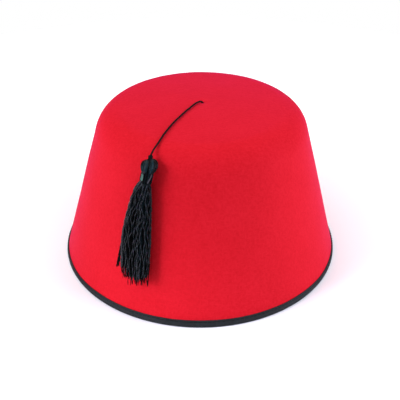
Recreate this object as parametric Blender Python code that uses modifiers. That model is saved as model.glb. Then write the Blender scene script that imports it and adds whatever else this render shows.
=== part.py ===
# A felt fez: a tapered crown bound at the rim, with a black tassel that hangs on a
# thin cord from the middle of the top. Metres, +Z up. The origin is the middle of the
# rim on the surface that the hat rests on, and the front faces -Y.

import math

import bmesh
import bpy
from mathutils import Matrix, Vector

MM = 0.001

# Crown
RIM_RADIUS = 97.0 * MM         # outside of the binding, on the floor
CROWN_HEIGHT = 108.0 * MM      # floor to the middle of the top
WALL_TAPER = math.radians(15.8)    # the wall leans in this far from upright
TOP_SLOPE = math.radians(4.0)      # fall of the domed top where the shoulder starts
SHOULDER_RADIUS = 20.1 * MM
FELT = 2.0 * MM
CORD_HOLE_RADIUS = 1.5 * MM
GAP = 0.3 * MM                 # left between pieces that touch

# Binding
RIBBON = 0.5 * MM              # thickness
BINDING_HEIGHT = 4.6 * MM      # up the inside, and up the outside at the front
BINDING_ROUNDING = 0.7 * MM    # of its folded lower edges
BINDING_EDGE = 0.4 * MM        # height of the bevel along its two upper edges
BINDING_EDGE_INSET = 0.35 * RIBBON
# The outside of the binding narrows towards the sides: height (in millimetres) at each
# bearing from the front (in degrees), the same to both sides.
BINDING_HEIGHT_OUTSIDE = [
    # bearing, height
    (0.0, 4.6),
    (20.0, 4.4),
    (32.0, 4.2),
    (43.0, 4.05),
    (50.0, 3.7),
    (58.0, 3.2),
    (75.0, 2.9),
    (180.0, 2.9),
]

# Cord
CORD_RADIUS = 0.6 * MM
CORD_WAY_RADIUS = CORD_RADIUS + 1.2 * GAP      # of the way through the tassel
CORD_POINT_SPACING = 2.0 * MM
STOP_KNOT_RADIUS = 2.4 * MM
STOP_KNOT_FLATNESS = 0.7       # its height as a share of its width
HANGING_KNOT_TUBE = 0.35 * MM
HANGING_KNOT_HEIGHT = 2.0 * MM

# Tassel
TASSEL_BEARING = 26.0          # degrees from the front towards the left (-X)
STRANDS_ROUND_HEAD = 14
STRAND_DEPTH = 0.05            # of the head's grooves, as a share of its size
PARTING_DEPTH = 0.2            # of the deeper grooves between the head's two lobes
PARTING_WIDTH = 0.3            # in radians round the head
PARTING_TURN = math.radians(25.0)      # of the front one from the middle towards the right
LOCKS = 17
LOCK_STATIONS = 9
LOCK_STATION_POWER = 0.8       # below 1 sets them closer together towards the hem
LOCK_SHARE = 0.60              # lock radius as a share of the spacing of the locks
LOCK_WAVE = 0.25               # how far a lock sways to the side, in millimetres
LOCK_TAPER_START = 0.86        # share of a lock's length where it starts to thin
LOCK_TIP = 0.50                # size of its end as a share of the rest
SKIRT_CORE_SHARE = 0.80        # size of the core that carries the locks
NECK_WRAP_TURNS = 4
NECK_WRAP_THREAD = 0.48 * MM   # radius of one turn
NECK_WRAP_PROUD = 0.35         # how far out a turn's middle is, as a share of that radius

STEPS_ROUND_CROWN = 64
SMALL_MERGE = 0.00001

# The cord's own route over the felt: run is the way from the middle of the top along
# the felt, lift the height of the cord's middle over the felt (in millimetres), and
# bearing the direction from the front towards the left (in degrees).
CORD_OVER_FELT = [
    # run, lift, bearing
    (0.58, -1.95, -94.9),
    (0.43, -0.59, -83.5),
    (0.35, 0.25, 8.9),
    (1.11, 0.81, 44.2),
    (2.05, 1.0, 50.6),
    (4.0, 1.0, 48.4),
    (6.0, 0.95, 45.3),
    (9.6, 0.9, 40.0),
    (13.1, 0.9, 36.9),
    (17.5, 0.9, 34.9),
    (23.0, 0.9, 32.8),
    (29.0, 0.9, 31.5),
    (35.0, 0.9, 30.4),
    (41.0, 0.9, 29.2),
    (47.0, 0.9, 28.1),
    (52.0, 0.9, 27.2),
    (57.0, 1.0, 26.5),
    (60.6, 1.3, 26.5),
    (63.6, 2.1, 26.5),
    (66.1, 3.2, 26.2),
    (68.1, 4.3, 25.7),
]
# The last of these is the middle of the hanging knot. From there the cord goes down the
# middle of the tassel, at these heights in the tassel's frame (in millimetres).
CORD_IN_TASSEL = [8.0, 5.0, 2.0, -1.0, -4.0, -8.0, -12.0, -16.0]

# The tassel's outer form, in millimetres, in a frame that stands on the felt wall at the
# end of the shoulder: up is the way up along the wall, lift the distance of the middle
# from the wall's plane, side the shift to the right.
TASSEL_FORM = [
    # up, lift, side, half width, half depth
    (12.0, 1.5, 0.3, 0.9, 0.9),
    (8.7, 2.9, 0.9, 2.8, 2.2),
    (8.3, 3.1, 1.0, 3.9, 3.1),
    (7.6, 3.4, 1.2, 4.6, 3.6),
    (6.4, 4.1, 1.4, 5.1, 4.0),
    (4.8, 4.7, 1.5, 5.1, 4.1),
    (3.2, 5.2, 1.5, 4.4, 3.7),
    (2.0, 5.6, 1.4, 3.5, 3.2),
    (1.2, 5.7, 1.3, 2.6, 2.5),
    (-2.9, 5.8, 0.9, 2.6, 2.5),
    (-4.2, 5.8, 0.4, 3.7, 3.2),
    (-8.0, 5.7, -0.3, 5.2, 3.9),
    (-15.0, 5.5, -0.9, 6.8, 4.5),
    (-22.0, 5.3, -1.3, 7.8, 4.6),
    (-30.0, 5.2, -1.6, 8.9, 4.5),
    (-41.0, 5.1, -1.6, 10.0, 4.3),
    (-48.0, 5.0, -1.3, 10.0, 4.1),
    (-55.0, 4.9, -0.3, 9.4, 3.9),
    (-62.0, 4.7, 0.1, 8.9, 3.7),
    (-75.0, 4.3, 0.3, 8.2, 3.3),
]
HEAD_TOP = 8.7                 # heights in the tassel's frame, in millimetres
HEAD_BOTTOM = 1.2
NECK_TOP = 1.1
SKIRT_TOP = -3.3
CORE_END = -60.0               # the core stops inside the locks
HEM_AT_SIDES = -64.5           # mean height of the locks' ends
HEM_AT_MIDDLE = -68.5
HEM_RAGGEDNESS = 2.3           # how far they differ


def clear_scene():
    for item in list(bpy.data.objects):
        bpy.data.objects.remove(item, do_unlink=True)


def add_collection(name):
    group = bpy.data.collections.new(name)
    bpy.context.scene.collection.children.link(group)
    return group


def add_material(name, colour, roughness, sheen=0.0):
    made = bpy.data.materials.new(name)
    made.use_nodes = True
    shader = made.node_tree.nodes["Principled BSDF"]
    shader.inputs["Base Color"].default_value = (*colour, 1.0)
    shader.inputs["Roughness"].default_value = roughness
    shader.inputs["Metallic"].default_value = 0.0
    shader.inputs["Sheen Weight"].default_value = sheen
    made.diffuse_color = (*colour, 1.0)
    return made


def add_object(name, data, group, material=None):
    made = bpy.data.objects.new(name, data)
    group.objects.link(made)
    if material:
        data.materials.append(material)
    return made


def mesh_from(name, points, faces=(), edges=()):
    mesh = bpy.data.meshes.new(name)
    mesh.from_pydata([tuple(p) for p in points], list(edges), [tuple(f) for f in faces])
    mesh.update()
    return mesh


def shade(mesh, sharp_above=40.0):
    mesh.shade_smooth()
    mesh.set_sharp_from_angle(angle=math.radians(sharp_above))


# ---- the crown's outline, as a radius and a height in the half plane through its axis

def wall_radius(height, lift=0.0):
    """Radius at this height of the plane that lies at this lift over the wall's outside."""
    foot = RIM_RADIUS - (RIBBON + GAP) / math.cos(WALL_TAPER)
    return foot + lift / math.cos(WALL_TAPER) - height * math.tan(WALL_TAPER)


def crown_circles():
    """Middle and radius of the arc over the top, and the middle of the shoulder's arc."""
    lean = math.tan(WALL_TAPER)
    to_shoulder = wall_radius(CROWN_HEIGHT - SHOULDER_RADIUS, -SHOULDER_RADIUS) / (
        math.sin(TOP_SLOPE) - lean * (1.0 - math.cos(TOP_SLOPE))
    )
    top_radius = to_shoulder + SHOULDER_RADIUS
    top_middle = (0.0, CROWN_HEIGHT - top_radius)
    shoulder_middle = (
        to_shoulder * math.sin(TOP_SLOPE),
        top_middle[1] + to_shoulder * math.cos(TOP_SLOPE),
    )
    return top_middle, top_radius, shoulder_middle


TOP_MIDDLE, TOP_RADIUS, SHOULDER_MIDDLE = crown_circles()
WALL_NORMAL = 0.5 * math.pi - WALL_TAPER    # angle of the wall's outward normal from +Z
TOP_RUN = TOP_RADIUS * TOP_SLOPE            # from the middle of the top to the shoulder
SHOULDER_RUN = SHOULDER_RADIUS * (WALL_NORMAL - TOP_SLOPE)
WALL_START = TOP_RUN + SHOULDER_RUN


def on_arc(middle, radius, angle):
    return middle[0] + radius * math.sin(angle), middle[1] + radius * math.cos(angle)


def over_felt(run, lift=0.0):
    """Radius and height of the point at this lift over the felt, run from the top's middle."""
    if run <= TOP_RUN:
        return on_arc(TOP_MIDDLE, TOP_RADIUS + lift, run / TOP_RADIUS)
    if run <= WALL_START:
        angle = TOP_SLOPE + (run - TOP_RUN) / SHOULDER_RADIUS
        return on_arc(SHOULDER_MIDDLE, SHOULDER_RADIUS + lift, angle)
    radius, height = on_arc(SHOULDER_MIDDLE, SHOULDER_RADIUS + lift, WALL_NORMAL)
    down = run - WALL_START
    return radius + down * math.sin(WALL_TAPER), height - down * math.cos(WALL_TAPER)


def toward(bearing):
    """Level unit vector at this bearing, in degrees from the front towards the left."""
    angle = math.radians(bearing)
    return Vector((-math.sin(angle), -math.cos(angle), 0.0))


def felt_place(run, lift, bearing):
    radius, height = over_felt(run, lift)
    return toward(bearing) * radius + Vector((0.0, 0.0, height))


# ---- turned pieces

def turned(name, outline, group, material, closed=False, steps=STEPS_ROUND_CROWN):
    """A Screw about Z of an outline of (radius, height) that runs down its outer side."""
    count = len(outline)
    edges = [(i, i + 1) for i in range(count - 1)]
    if closed:
        edges.append((count - 1, 0))
    mesh = mesh_from(name, [(radius, 0.0, height) for radius, height in outline], edges=edges)
    made = add_object(name, mesh, group, material)
    screw = made.modifiers.new("turn", "SCREW")
    screw.axis = "Z"
    screw.angle = math.tau
    screw.steps = steps
    screw.render_steps = steps
    screw.use_merge_vertices = True
    screw.merge_threshold = SMALL_MERGE
    screw.use_smooth_shade = True
    return made


def make_crown(group, material):
    top_steps, shoulder_steps = 4, 7
    runs = [CORD_HOLE_RADIUS]
    runs += [TOP_RUN * i / top_steps for i in range(1, top_steps + 1)]
    runs += [TOP_RUN + SHOULDER_RUN * i / shoulder_steps for i in range(1, shoulder_steps + 1)]
    # the felt's inner edge is its lowest and stops just over the fold of the ribbon
    foot = GAP + RIBBON + FELT * math.sin(WALL_TAPER)
    outline = [over_felt(run) for run in runs] + [(wall_radius(foot), foot)]
    crown = turned("crown", outline, group, material)
    wall = crown.modifiers.new("felt thickness", "SOLIDIFY")
    wall.thickness = FELT
    wall.offset = -1.0
    wall.use_even_offset = True
    wall.use_rim = True
    return crown


def height_outside(bearing):
    """Height of the ribbon's outer edge at this bearing."""
    from_front = abs((bearing + 180.0) % 360.0 - 180.0)
    for (near, high), (far, low) in zip(BINDING_HEIGHT_OUTSIDE, BINDING_HEIGHT_OUTSIDE[1:]):
        if from_front <= far:
            return (high + (low - high) * (from_front - near) / (far - near)) * MM
    return BINDING_HEIGHT_OUTSIDE[-1][1] * MM


def ribbon_side(lift, outward, height):
    """Face of the folded ribbon from its upper edge down and round to the floor."""
    below_edge = height - BINDING_EDGE
    edge_lift = lift - outward * BINDING_EDGE_INSET
    side = [(wall_radius(height, edge_lift), height)]
    side.append((wall_radius(below_edge, lift), below_edge))
    middle = wall_radius(0.0, lift) - outward * BINDING_ROUNDING
    for degrees in (15.0, 50.0, 90.0):
        angle = math.radians(degrees)
        radius = middle + outward * BINDING_ROUNDING * math.cos(angle)
        side.append((radius, BINDING_ROUNDING * (1.0 - math.sin(angle))))
    return side


def make_binding(group, material):
    """Outside, under and inside of the fold, with a slot that takes the felt's edge."""
    points, faces = [], []
    for step in range(STEPS_ROUND_CROWN):
        bearing = 360.0 * step / STEPS_ROUND_CROWN
        height = height_outside(bearing)
        outside = ribbon_side(GAP + RIBBON, 1.0, height)
        inside = ribbon_side(-FELT - GAP - RIBBON, -1.0, BINDING_HEIGHT)
        slot = [
            (wall_radius(BINDING_HEIGHT, -FELT - GAP), BINDING_HEIGHT),
            (wall_radius(RIBBON, -FELT - GAP), RIBBON),
            (wall_radius(RIBBON, GAP), RIBBON),
            (wall_radius(height, GAP), height),
        ]
        outline = [*outside, *reversed(inside), *slot]
        points += [toward(bearing) * radius + Vector((0.0, 0.0, up)) for radius, up in outline]
    count = len(points) // STEPS_ROUND_CROWN
    for step in range(STEPS_ROUND_CROWN):
        here, beside = step * count, (step + 1) % STEPS_ROUND_CROWN * count
        for i in range(count):
            j = (i + 1) % count
            faces.append((here + i, beside + i, beside + j, here + j))
    mesh = mesh_from("rim_binding", points, faces)
    shade(mesh)
    return add_object("rim_binding", mesh, group, material)


# ---- smooth lines and tubes

def smooth_line(points, spacing):
    """Points at even spacing on a smooth curve through the given ones."""
    ends = [points[0] * 2.0 - points[1], *points, points[-1] * 2.0 - points[-2]]
    fine = [points[0]]
    parts = 12
    for a, b, c, d in zip(ends, ends[1:], ends[2:], ends[3:]):
        for step in range(1, parts + 1):
            t = step / parts
            fine.append(
                0.5
                * (
                    2.0 * b
                    + (c - a) * t
                    + (2.0 * a - 5.0 * b + 4.0 * c - d) * t * t
                    + (3.0 * b - 3.0 * c + d - a) * t * t * t
                )
            )
    length = sum((q - p).length for p, q in zip(fine, fine[1:]))
    count = max(2, round(length / spacing))
    even, walked, wanted = [fine[0]], 0.0, length / count
    for p, q in zip(fine, fine[1:]):
        stretch = (q - p).length
        while walked + stretch >= wanted * len(even) and len(even) < count:
            even.append(p.lerp(q, (wanted * len(even) - walked) / stretch))
        walked += stretch
    return [*even, fine[-1]]


def add_tube(name, points, radius, group, material=None, sizes=None, sides_level=2):
    """A curve with a round section; sizes scale the radius at each point."""
    curve = bpy.data.curves.new(name, "CURVE")
    curve.dimensions = "3D"
    curve.bevel_depth = radius
    curve.bevel_resolution = sides_level
    curve.use_fill_caps = True
    spline = curve.splines.new("POLY")
    spline.points.add(len(points) - 1)
    for i, place in enumerate(points):
        spline.points[i].co = (*place, 1.0)
        spline.points[i].radius = sizes[i] if sizes else 1.0
    return add_object(name, curve, group, material)


def made_mesh(tube, group):
    """The tube as a closed mesh object in the group, in place of its curve."""
    bpy.context.view_layer.update()
    evaluated = tube.evaluated_get(bpy.context.evaluated_depsgraph_get())
    mesh = bpy.data.meshes.new_from_object(evaluated)
    welded = bmesh.new()
    welded.from_mesh(mesh)
    bmesh.ops.remove_doubles(welded, verts=welded.verts, dist=SMALL_MERGE)
    bmesh.ops.recalc_face_normals(welded, faces=welded.faces)
    welded.to_mesh(mesh)
    welded.free()
    name, place = tube.name, tube.matrix_world.copy()
    bpy.data.objects.remove(tube, do_unlink=True)
    made = bpy.data.objects.new(name, mesh)
    made.matrix_world = place
    made.hide_render = True
    made.display_type = "WIRE"
    group.objects.link(made)
    return made


# ---- the tassel

def tassel_frame():
    """Stands on the wall's plane at the end of the shoulder: X right, Y inward, Z up the wall."""
    out = toward(TASSEL_BEARING)
    up = Vector((0.0, 0.0, 1.0))
    normal = out * math.sin(WALL_NORMAL) + up * math.cos(WALL_NORMAL)
    along = -out * math.cos(WALL_NORMAL) + up * math.sin(WALL_NORMAL)
    inward = -normal
    right = inward.cross(along)
    frame = Matrix((right, inward, along)).transposed().to_4x4()
    frame.translation = felt_place(WALL_START, 0.0, TASSEL_BEARING)
    return frame


def tassel_section(up):
    """lift, side, half width and half depth of the form at this height, in millimetres."""
    rows = TASSEL_FORM
    if up >= rows[0][0]:
        return rows[0][1:]
    for above, below in zip(rows, rows[1:]):
        if up >= below[0]:
            share = (above[0] - up) / (above[0] - below[0])
            return tuple(a + (b - a) * share for a, b in zip(above[1:], below[1:]))
    return rows[-1][1:]


def tassel_middle(up):
    """The middle of the tassel at this height, in the tassel's own frame."""
    lift, side, _, _ = tassel_section(up)
    return Vector((side, -lift, up)) * MM


def groove(angle, up):
    """Size of the core at this angle: yarn strands side by side, the head in two lobes."""
    from_front = (angle + 1.5 * math.pi) % math.tau - math.pi
    strands = STRAND_DEPTH * math.cos(STRANDS_ROUND_HEAD * from_front)
    if up <= HEAD_BOTTOM:
        return 1.0 - strands
    from_parting = math.asin(math.sin(from_front - PARTING_TURN))
    return 1.0 - strands - PARTING_DEPTH * math.exp(-((from_parting / PARTING_WIDTH) ** 2))


def make_core(group, material):
    """Head, neck and the skirt's inner body, lofted through the rows of the form."""
    heights = [row[0] for row in TASSEL_FORM if CORE_END <= row[0] <= HEAD_TOP]
    sides = 3 * STRANDS_ROUND_HEAD
    points = []
    for up in heights:
        lift, side, half_width, half_depth = tassel_section(up)
        size = SKIRT_CORE_SHARE if up < SKIRT_TOP else 1.0
        is_neck = SKIRT_TOP < up <= HEAD_BOTTOM
        for i in range(sides):
            angle = math.tau * i / sides
            share = 1.0 if is_neck else size * groove(angle, up)
            points.append(
                Vector(
                    (
                        side + half_width * share * math.cos(angle),
                        -lift + half_depth * share * math.sin(angle),
                        up,
                    )
                )
                * MM
            )
    faces = []
    for ring in range(len(heights) - 1):
        for i in range(sides):
            j = (i + 1) % sides
            a, b = ring * sides + i, ring * sides + j
            faces.append((a, a + sides, b + sides, b))
    faces.append(tuple(range(sides)))
    faces.append(tuple(reversed(range((len(heights) - 1) * sides, len(heights) * sides))))
    core = add_object("tassel", mesh_from("tassel", points, faces), group, material)
    core.matrix_world = tassel_frame()
    return core


def lock_end(index, angle):
    hem = HEM_AT_MIDDLE + (HEM_AT_SIDES - HEM_AT_MIDDLE) * math.cos(angle) ** 2
    return hem + HEM_RAGGEDNESS * (math.sin(2.4 * index) - 0.5 * math.sin(1.1 * index))


def make_lock(index, group):
    """One lock of yarn from under the wrap to the hem, a little waved, thinner at its end."""
    angle = math.tau * (index + 0.5) / LOCKS
    end = lock_end(index, angle)
    points, sizes = [], []
    for station in range(LOCK_STATIONS):
        share = station / (LOCK_STATIONS - 1)
        up = SKIRT_TOP + (end - SKIRT_TOP) * share ** LOCK_STATION_POWER
        lift, side, half_width, half_depth = tassel_section(up)
        round_form = math.pi * (half_width + half_depth)
        radius = LOCK_SHARE * round_form / LOCKS
        wave = LOCK_WAVE * math.sin(5.0 * share + 1.7 * index) * min(1.0, 4.0 * share)
        x = side + (half_width - radius) * math.cos(angle) + wave
        y = -lift + (half_depth - radius) * math.sin(angle)
        points.append(Vector((x, y, up)) * MM)
        near_end = max(0.0, (share - LOCK_TAPER_START) / (1.0 - LOCK_TAPER_START))
        sizes.append(radius * (1.0 + (LOCK_TIP - 1.0) * near_end))
    tube = add_tube(f"lock_{index + 1}", points, MM, group, sizes=sizes, sides_level=1)
    tube.matrix_world = tassel_frame()
    return made_mesh(tube, group)


def make_tassel(group, helpers, material):
    tassel = make_core(group, material)
    locks = add_collection("tassel locks")
    for index in range(LOCKS):
        make_lock(index, locks)
    join = tassel.modifiers.new("join the locks", "BOOLEAN")
    join.operation = "UNION"
    join.solver = "EXACT"
    join.operand_type = "COLLECTION"
    join.collection = locks
    # the cord's way starts over the head and runs a little past the cord's end
    heights = [HEAD_TOP + 3.0, *CORD_IN_TASSEL, CORD_IN_TASSEL[-1] - 1.0]
    tube = add_tube("cord_way", [tassel_middle(up) for up in heights], CORD_WAY_RADIUS, helpers)
    tube.matrix_world = tassel_frame()
    cut = tassel.modifiers.new("cord way", "BOOLEAN")
    cut.operation = "DIFFERENCE"
    cut.solver = "EXACT"
    cut.object = made_mesh(tube, helpers)
    return tassel


def make_neck_wrap(group, material):
    """Turns of thread side by side round the neck, under the head."""
    neck = 0.5 * (SKIRT_TOP + NECK_TOP)
    _, _, half_width, half_depth = tassel_section(neck)
    inner = half_width * MM + GAP
    thread_middle = inner + NECK_WRAP_PROUD * NECK_WRAP_THREAD
    valley = math.radians(72.0)     # where the outline of one turn meets the next
    steps = 4
    outline = []
    for turn in range(NECK_WRAP_TURNS):
        height = -NECK_WRAP_THREAD * (2 * turn + 1)
        for step in range(steps + 1):
            angle = valley * (1.0 - 2.0 * step / steps)
            radius = thread_middle + NECK_WRAP_THREAD * math.cos(angle)
            outline.append((radius, height + NECK_WRAP_THREAD * math.sin(angle)))
    outline += [(inner, outline[-1][1]), (inner, outline[0][1])]
    wrap = turned("neck_wrap", outline, group, material, closed=True, steps=24)
    place = tassel_middle(neck)
    place.z = NECK_TOP * MM
    flatten = Matrix.Diagonal((1.0, (half_depth * MM + GAP) / inner, 1.0, 1.0))
    wrap.matrix_world = tassel_frame() @ Matrix.Translation(place) @ flatten
    return wrap


# ---- the cord and its knots

def cord_route():
    frame = tassel_frame()
    route = [felt_place(run * MM, lift * MM, bearing) for run, lift, bearing in CORD_OVER_FELT]
    return route + [frame @ tassel_middle(up) for up in CORD_IN_TASSEL]


def make_cord(group, material):
    return add_tube(
        "tassel_cord",
        smooth_line(cord_route(), CORD_POINT_SPACING),
        CORD_RADIUS,
        group,
        material,
    )


def make_stop_knot(group, material):
    """The knot that keeps the cord from pulling out, under the felt inside the crown."""
    bpy.ops.mesh.primitive_uv_sphere_add(segments=12, ring_count=8, radius=STOP_KNOT_RADIUS)
    knot = bpy.context.object
    knot.name = "stop_knot"
    knot.data.name = "stop_knot"
    knot.scale.z = STOP_KNOT_FLATNESS
    knot.location.z = CROWN_HEIGHT - FELT - GAP - STOP_KNOT_RADIUS * STOP_KNOT_FLATNESS
    return adopt(knot, group, material)


def make_hanging_knot(group, material):
    """The knot round the cord on top of the tassel's head."""
    tube = HANGING_KNOT_TUBE
    bpy.ops.mesh.primitive_torus_add(
        major_segments=14,
        minor_segments=8,
        major_radius=CORD_RADIUS + GAP + tube,
        minor_radius=tube,
    )
    knot = bpy.context.object
    knot.name = "hanging_knot"
    knot.data.name = "hanging_knot"
    route = cord_route()
    last_over_felt = len(CORD_OVER_FELT) - 1
    middle = route[last_over_felt]
    along = route[last_over_felt - 1] - route[last_over_felt + 1]
    stretch = Matrix.Diagonal((1.0, 1.0, 0.5 * HANGING_KNOT_HEIGHT / tube, 1.0))
    turn = along.to_track_quat("Z", "X").to_matrix().to_4x4()
    knot.matrix_world = Matrix.Translation(middle) @ turn @ stretch
    return adopt(knot, group, material)


def adopt(made, group, material):
    """Moves a new primitive into the group and gives it its material."""
    for holder in list(made.users_collection):
        holder.objects.unlink(made)
    group.objects.link(made)
    made.data.materials.append(material)
    shade(made.data)
    return made


def main():
    clear_scene()
    hat = add_collection("fez")
    helpers = add_collection("cutters")
    felt = add_material("red felt", (0.78, 0.012, 0.03), 0.9, sheen=0.3)
    ribbon = add_material("black ribbon", (0.012, 0.015, 0.017), 0.6)
    cord = add_material("black cord", (0.01, 0.01, 0.011), 0.6)
    yarn = add_material("black yarn", (0.012, 0.013, 0.015), 0.45)
    make_crown(hat, felt)
    make_binding(hat, ribbon)
    make_cord(hat, cord)
    make_stop_knot(hat, cord)
    make_hanging_knot(hat, cord)
    make_tassel(hat, helpers, yarn)
    make_neck_wrap(hat, yarn)


main()
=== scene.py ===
import random
from math import cos, degrees, exp, pi, radians, sin, sqrt, tan, tau

import bpy
from mathutils import Matrix, Vector, noise


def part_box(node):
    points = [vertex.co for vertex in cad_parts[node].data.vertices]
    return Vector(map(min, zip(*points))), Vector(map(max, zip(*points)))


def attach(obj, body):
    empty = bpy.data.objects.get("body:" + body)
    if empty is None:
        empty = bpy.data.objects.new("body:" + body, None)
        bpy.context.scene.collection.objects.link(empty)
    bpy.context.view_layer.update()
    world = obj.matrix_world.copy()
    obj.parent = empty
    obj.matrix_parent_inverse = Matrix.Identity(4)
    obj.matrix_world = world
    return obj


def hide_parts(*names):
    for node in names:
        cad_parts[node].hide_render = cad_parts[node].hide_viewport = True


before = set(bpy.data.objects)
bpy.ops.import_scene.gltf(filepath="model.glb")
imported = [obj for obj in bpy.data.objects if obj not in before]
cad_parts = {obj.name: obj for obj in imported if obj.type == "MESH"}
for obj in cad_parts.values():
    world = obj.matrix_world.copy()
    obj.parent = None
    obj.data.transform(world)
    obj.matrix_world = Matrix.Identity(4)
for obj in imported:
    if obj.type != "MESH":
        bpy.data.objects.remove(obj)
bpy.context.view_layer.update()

mm = 0.001
random.seed(26)

# the photo looks down on the hat from the front
cameraView = {
    "elevation": 33.16,  # degrees over the level
    "distance": 0.485,   # from the aim, in metres
    "aimHeight": 0.0316,
    "aside": -0.0001,
    "lens": 61.08,
}


def placed(name, data):
    made = bpy.data.objects.new(name, data)
    bpy.context.scene.collection.objects.link(made)
    return made


def addCamera():
    angle = radians(cameraView["elevation"])
    distance = cameraView["distance"]
    data = bpy.data.cameras.new("photoCamera")
    data.lens = cameraView["lens"]
    data.sensor_width = 36.0
    data.clip_start = 0.01
    made = placed("photoCamera", data)
    height = cameraView["aimHeight"] + distance * sin(angle)
    made.location = (cameraView["aside"], -distance * cos(angle), height)
    made.rotation_euler = (0.5 * pi - angle, 0.0, 0.0)
    bpy.context.scene.camera = made


addCamera()
print("camera placed")

# the crown's outline, the same sizes as the solid model's, and a slight lean
hatForm = {
    "rimRadius": 97.0 * mm,
    "height": 108.0 * mm,
    "taper": radians(15.8),  # of the wall
    "topSlope": radians(4.0),  # where the dome meets the shoulder
    "shoulder": 20.1 * mm,
    "felt": 2.0 * mm,
    "ribbon": 0.5 * mm,
    "gap": 0.3 * mm,         # of air between the felt and the ribbon
    "lean": 0.0116,          # how far the soft crown leans to the right as it rises
}
taper = hatForm["taper"]


def wallRadius(height, lift=0.0):
    foot = hatForm["rimRadius"] - (hatForm["ribbon"] + hatForm["gap"]) / cos(taper)
    return foot + lift / cos(taper) - height * tan(taper)


def crownArcs():
    # middle height and radius of the dome, then the middle of the shoulder's arc
    slope, shoulder, height = hatForm["topSlope"], hatForm["shoulder"], hatForm["height"]
    reach = wallRadius(height - shoulder, -shoulder)
    reach /= sin(slope) - tan(taper) * (1.0 - cos(slope))
    domeRadius = reach + shoulder
    domeMiddle = height - domeRadius
    return domeMiddle, domeRadius, (reach * sin(slope), domeMiddle + reach * cos(slope))


domeMiddle, domeRadius, shoulderMiddle = crownArcs()
wallTurn = 0.5 * pi - taper
topRun = domeRadius * hatForm["topSlope"]
wallStart = topRun + hatForm["shoulder"] * (wallTurn - hatForm["topSlope"])


def overFelt(run, lift=0.0):
    # run is the way along the felt from the middle of the top, lift the height over it
    if run <= topRun:
        angle = run / domeRadius
        reach = domeRadius + lift
        return reach * sin(angle), domeMiddle + reach * cos(angle)
    angle = min(wallTurn, hatForm["topSlope"] + (run - topRun) / hatForm["shoulder"])
    reach = hatForm["shoulder"] + lift
    down = max(0.0, run - wallStart)
    radius = shoulderMiddle[0] + reach * sin(angle) + down * sin(taper)
    return radius, shoulderMiddle[1] + reach * cos(angle) - down * cos(taper)


def runAtHeight(height):
    return wallStart + (overFelt(wallStart)[1] - height) / cos(taper)


def toward(bearing):
    # degrees from the front towards the left
    angle = radians(bearing)
    return Vector((-sin(angle), -cos(angle), 0.0))


def feltPlace(run, lift, bearing):
    radius, height = overFelt(run, lift)
    return toward(bearing) * radius + Vector((0.0, 0.0, height))


def leaning(point):
    return Vector((point[0] + hatForm["lean"] * point[2], point[1], point[2]))


# meshes are gathered as points, faces and one tint for each point
def newShape():
    return {"points": [], "faces": [], "tints": []}


def addRings(shape, rings, tint=0.5, loop=False):
    # tint is one number, or gives it for the share of the way
    start, sides, count = len(shape["points"]), len(rings[0]), len(rings)
    for row, ring in enumerate(rings):
        shape["points"].extend(ring)
        shape["tints"].extend([tint(row / count) if callable(tint) else tint] * sides)
    for row in range(count if loop else count - 1):
        a = start + row * sides
        b = start + ((row + 1) % count) * sides
        for i in range(sides):
            j = (i + 1) % sides
            shape["faces"].append((a + i, a + j, b + j, b + i))
    if not loop:
        shape["faces"].append(tuple(range(start + sides - 1, start - 1, -1)))
        last = start + (count - 1) * sides
        shape["faces"].append(tuple(range(last, last + sides)))


def lineFrames(points, closed=False):
    # two directions across the line at each point, carried along without twist
    count = len(points)
    frames, side = [], None
    for i in range(count):
        if closed:
            along = points[(i + 1) % count] - points[i - 1]
        else:
            along = points[min(i + 1, count - 1)] - points[max(i - 1, 0)]
        along.normalize()
        side = along.orthogonal() if side is None else side - along * side.dot(along)
        side.normalize()
        frames.append((side, along.cross(side)))
    return frames


def addTube(shape, points, sizeAt, sides, tint=0.5, loop=False):
    # sizeAt takes the share of the length, the way walked and the angle round the tube
    walked, rings = 0.0, []
    for i, (across, over) in enumerate(lineFrames(points, loop)):
        if i:
            walked += (points[i] - points[i - 1]).length
        ring = []
        for k in range(sides):
            angle = tau * k / sides
            size = sizeAt(i / (len(points) - 1), walked, angle)
            ring.append(points[i] + size * (cos(angle) * across + sin(angle) * over))
        rings.append(ring)
    addRings(shape, rings, tint, loop=loop)


def smoothLine(points, spacing):
    # even points on a smooth curve through the given ones
    ends = [points[0] * 2.0 - points[1], *points, points[-1] * 2.0 - points[-2]]
    fine, parts = [points[0]], 12
    for a, b, c, d in zip(ends, ends[1:], ends[2:], ends[3:]):
        for step in range(1, parts + 1):
            t = step / parts
            bend = (2.0 * a - 5.0 * b + 4.0 * c - d) * t * t + (3.0 * b - 3.0 * c + d - a) * t * t * t
            fine.append(0.5 * (2.0 * b + (c - a) * t + bend))
    length = sum((q - p).length for p, q in zip(fine, fine[1:]))
    count = max(2, round(length / spacing))
    even, walked, wanted = [fine[0]], 0.0, length / count
    for p, q in zip(fine, fine[1:]):
        stretch = (q - p).length
        while walked + stretch >= wanted * len(even) and len(even) < count:
            even.append(p.lerp(q, (wanted * len(even) - walked) / stretch))
        walked += stretch
    return [*even, fine[-1]]


def finishPiece(name, shape, material, replaced=(), sharpAbove=None):
    mesh = bpy.data.meshes.new(name)
    mesh.from_pydata([leaning(p) for p in shape["points"]], [], shape["faces"])
    mesh.attributes.new("tint", "FLOAT", "POINT").data.foreach_set("value", shape["tints"])
    mesh.shade_smooth()
    if sharpAbove:
        mesh.set_sharp_from_angle(angle=radians(sharpAbove))
    mesh.materials.append(material)
    piece = placed(name, mesh)
    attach(piece, "root")
    if replaced:
        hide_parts(*replaced)
    print(name, "made with", len(mesh.polygons), "faces")
    return piece


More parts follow.
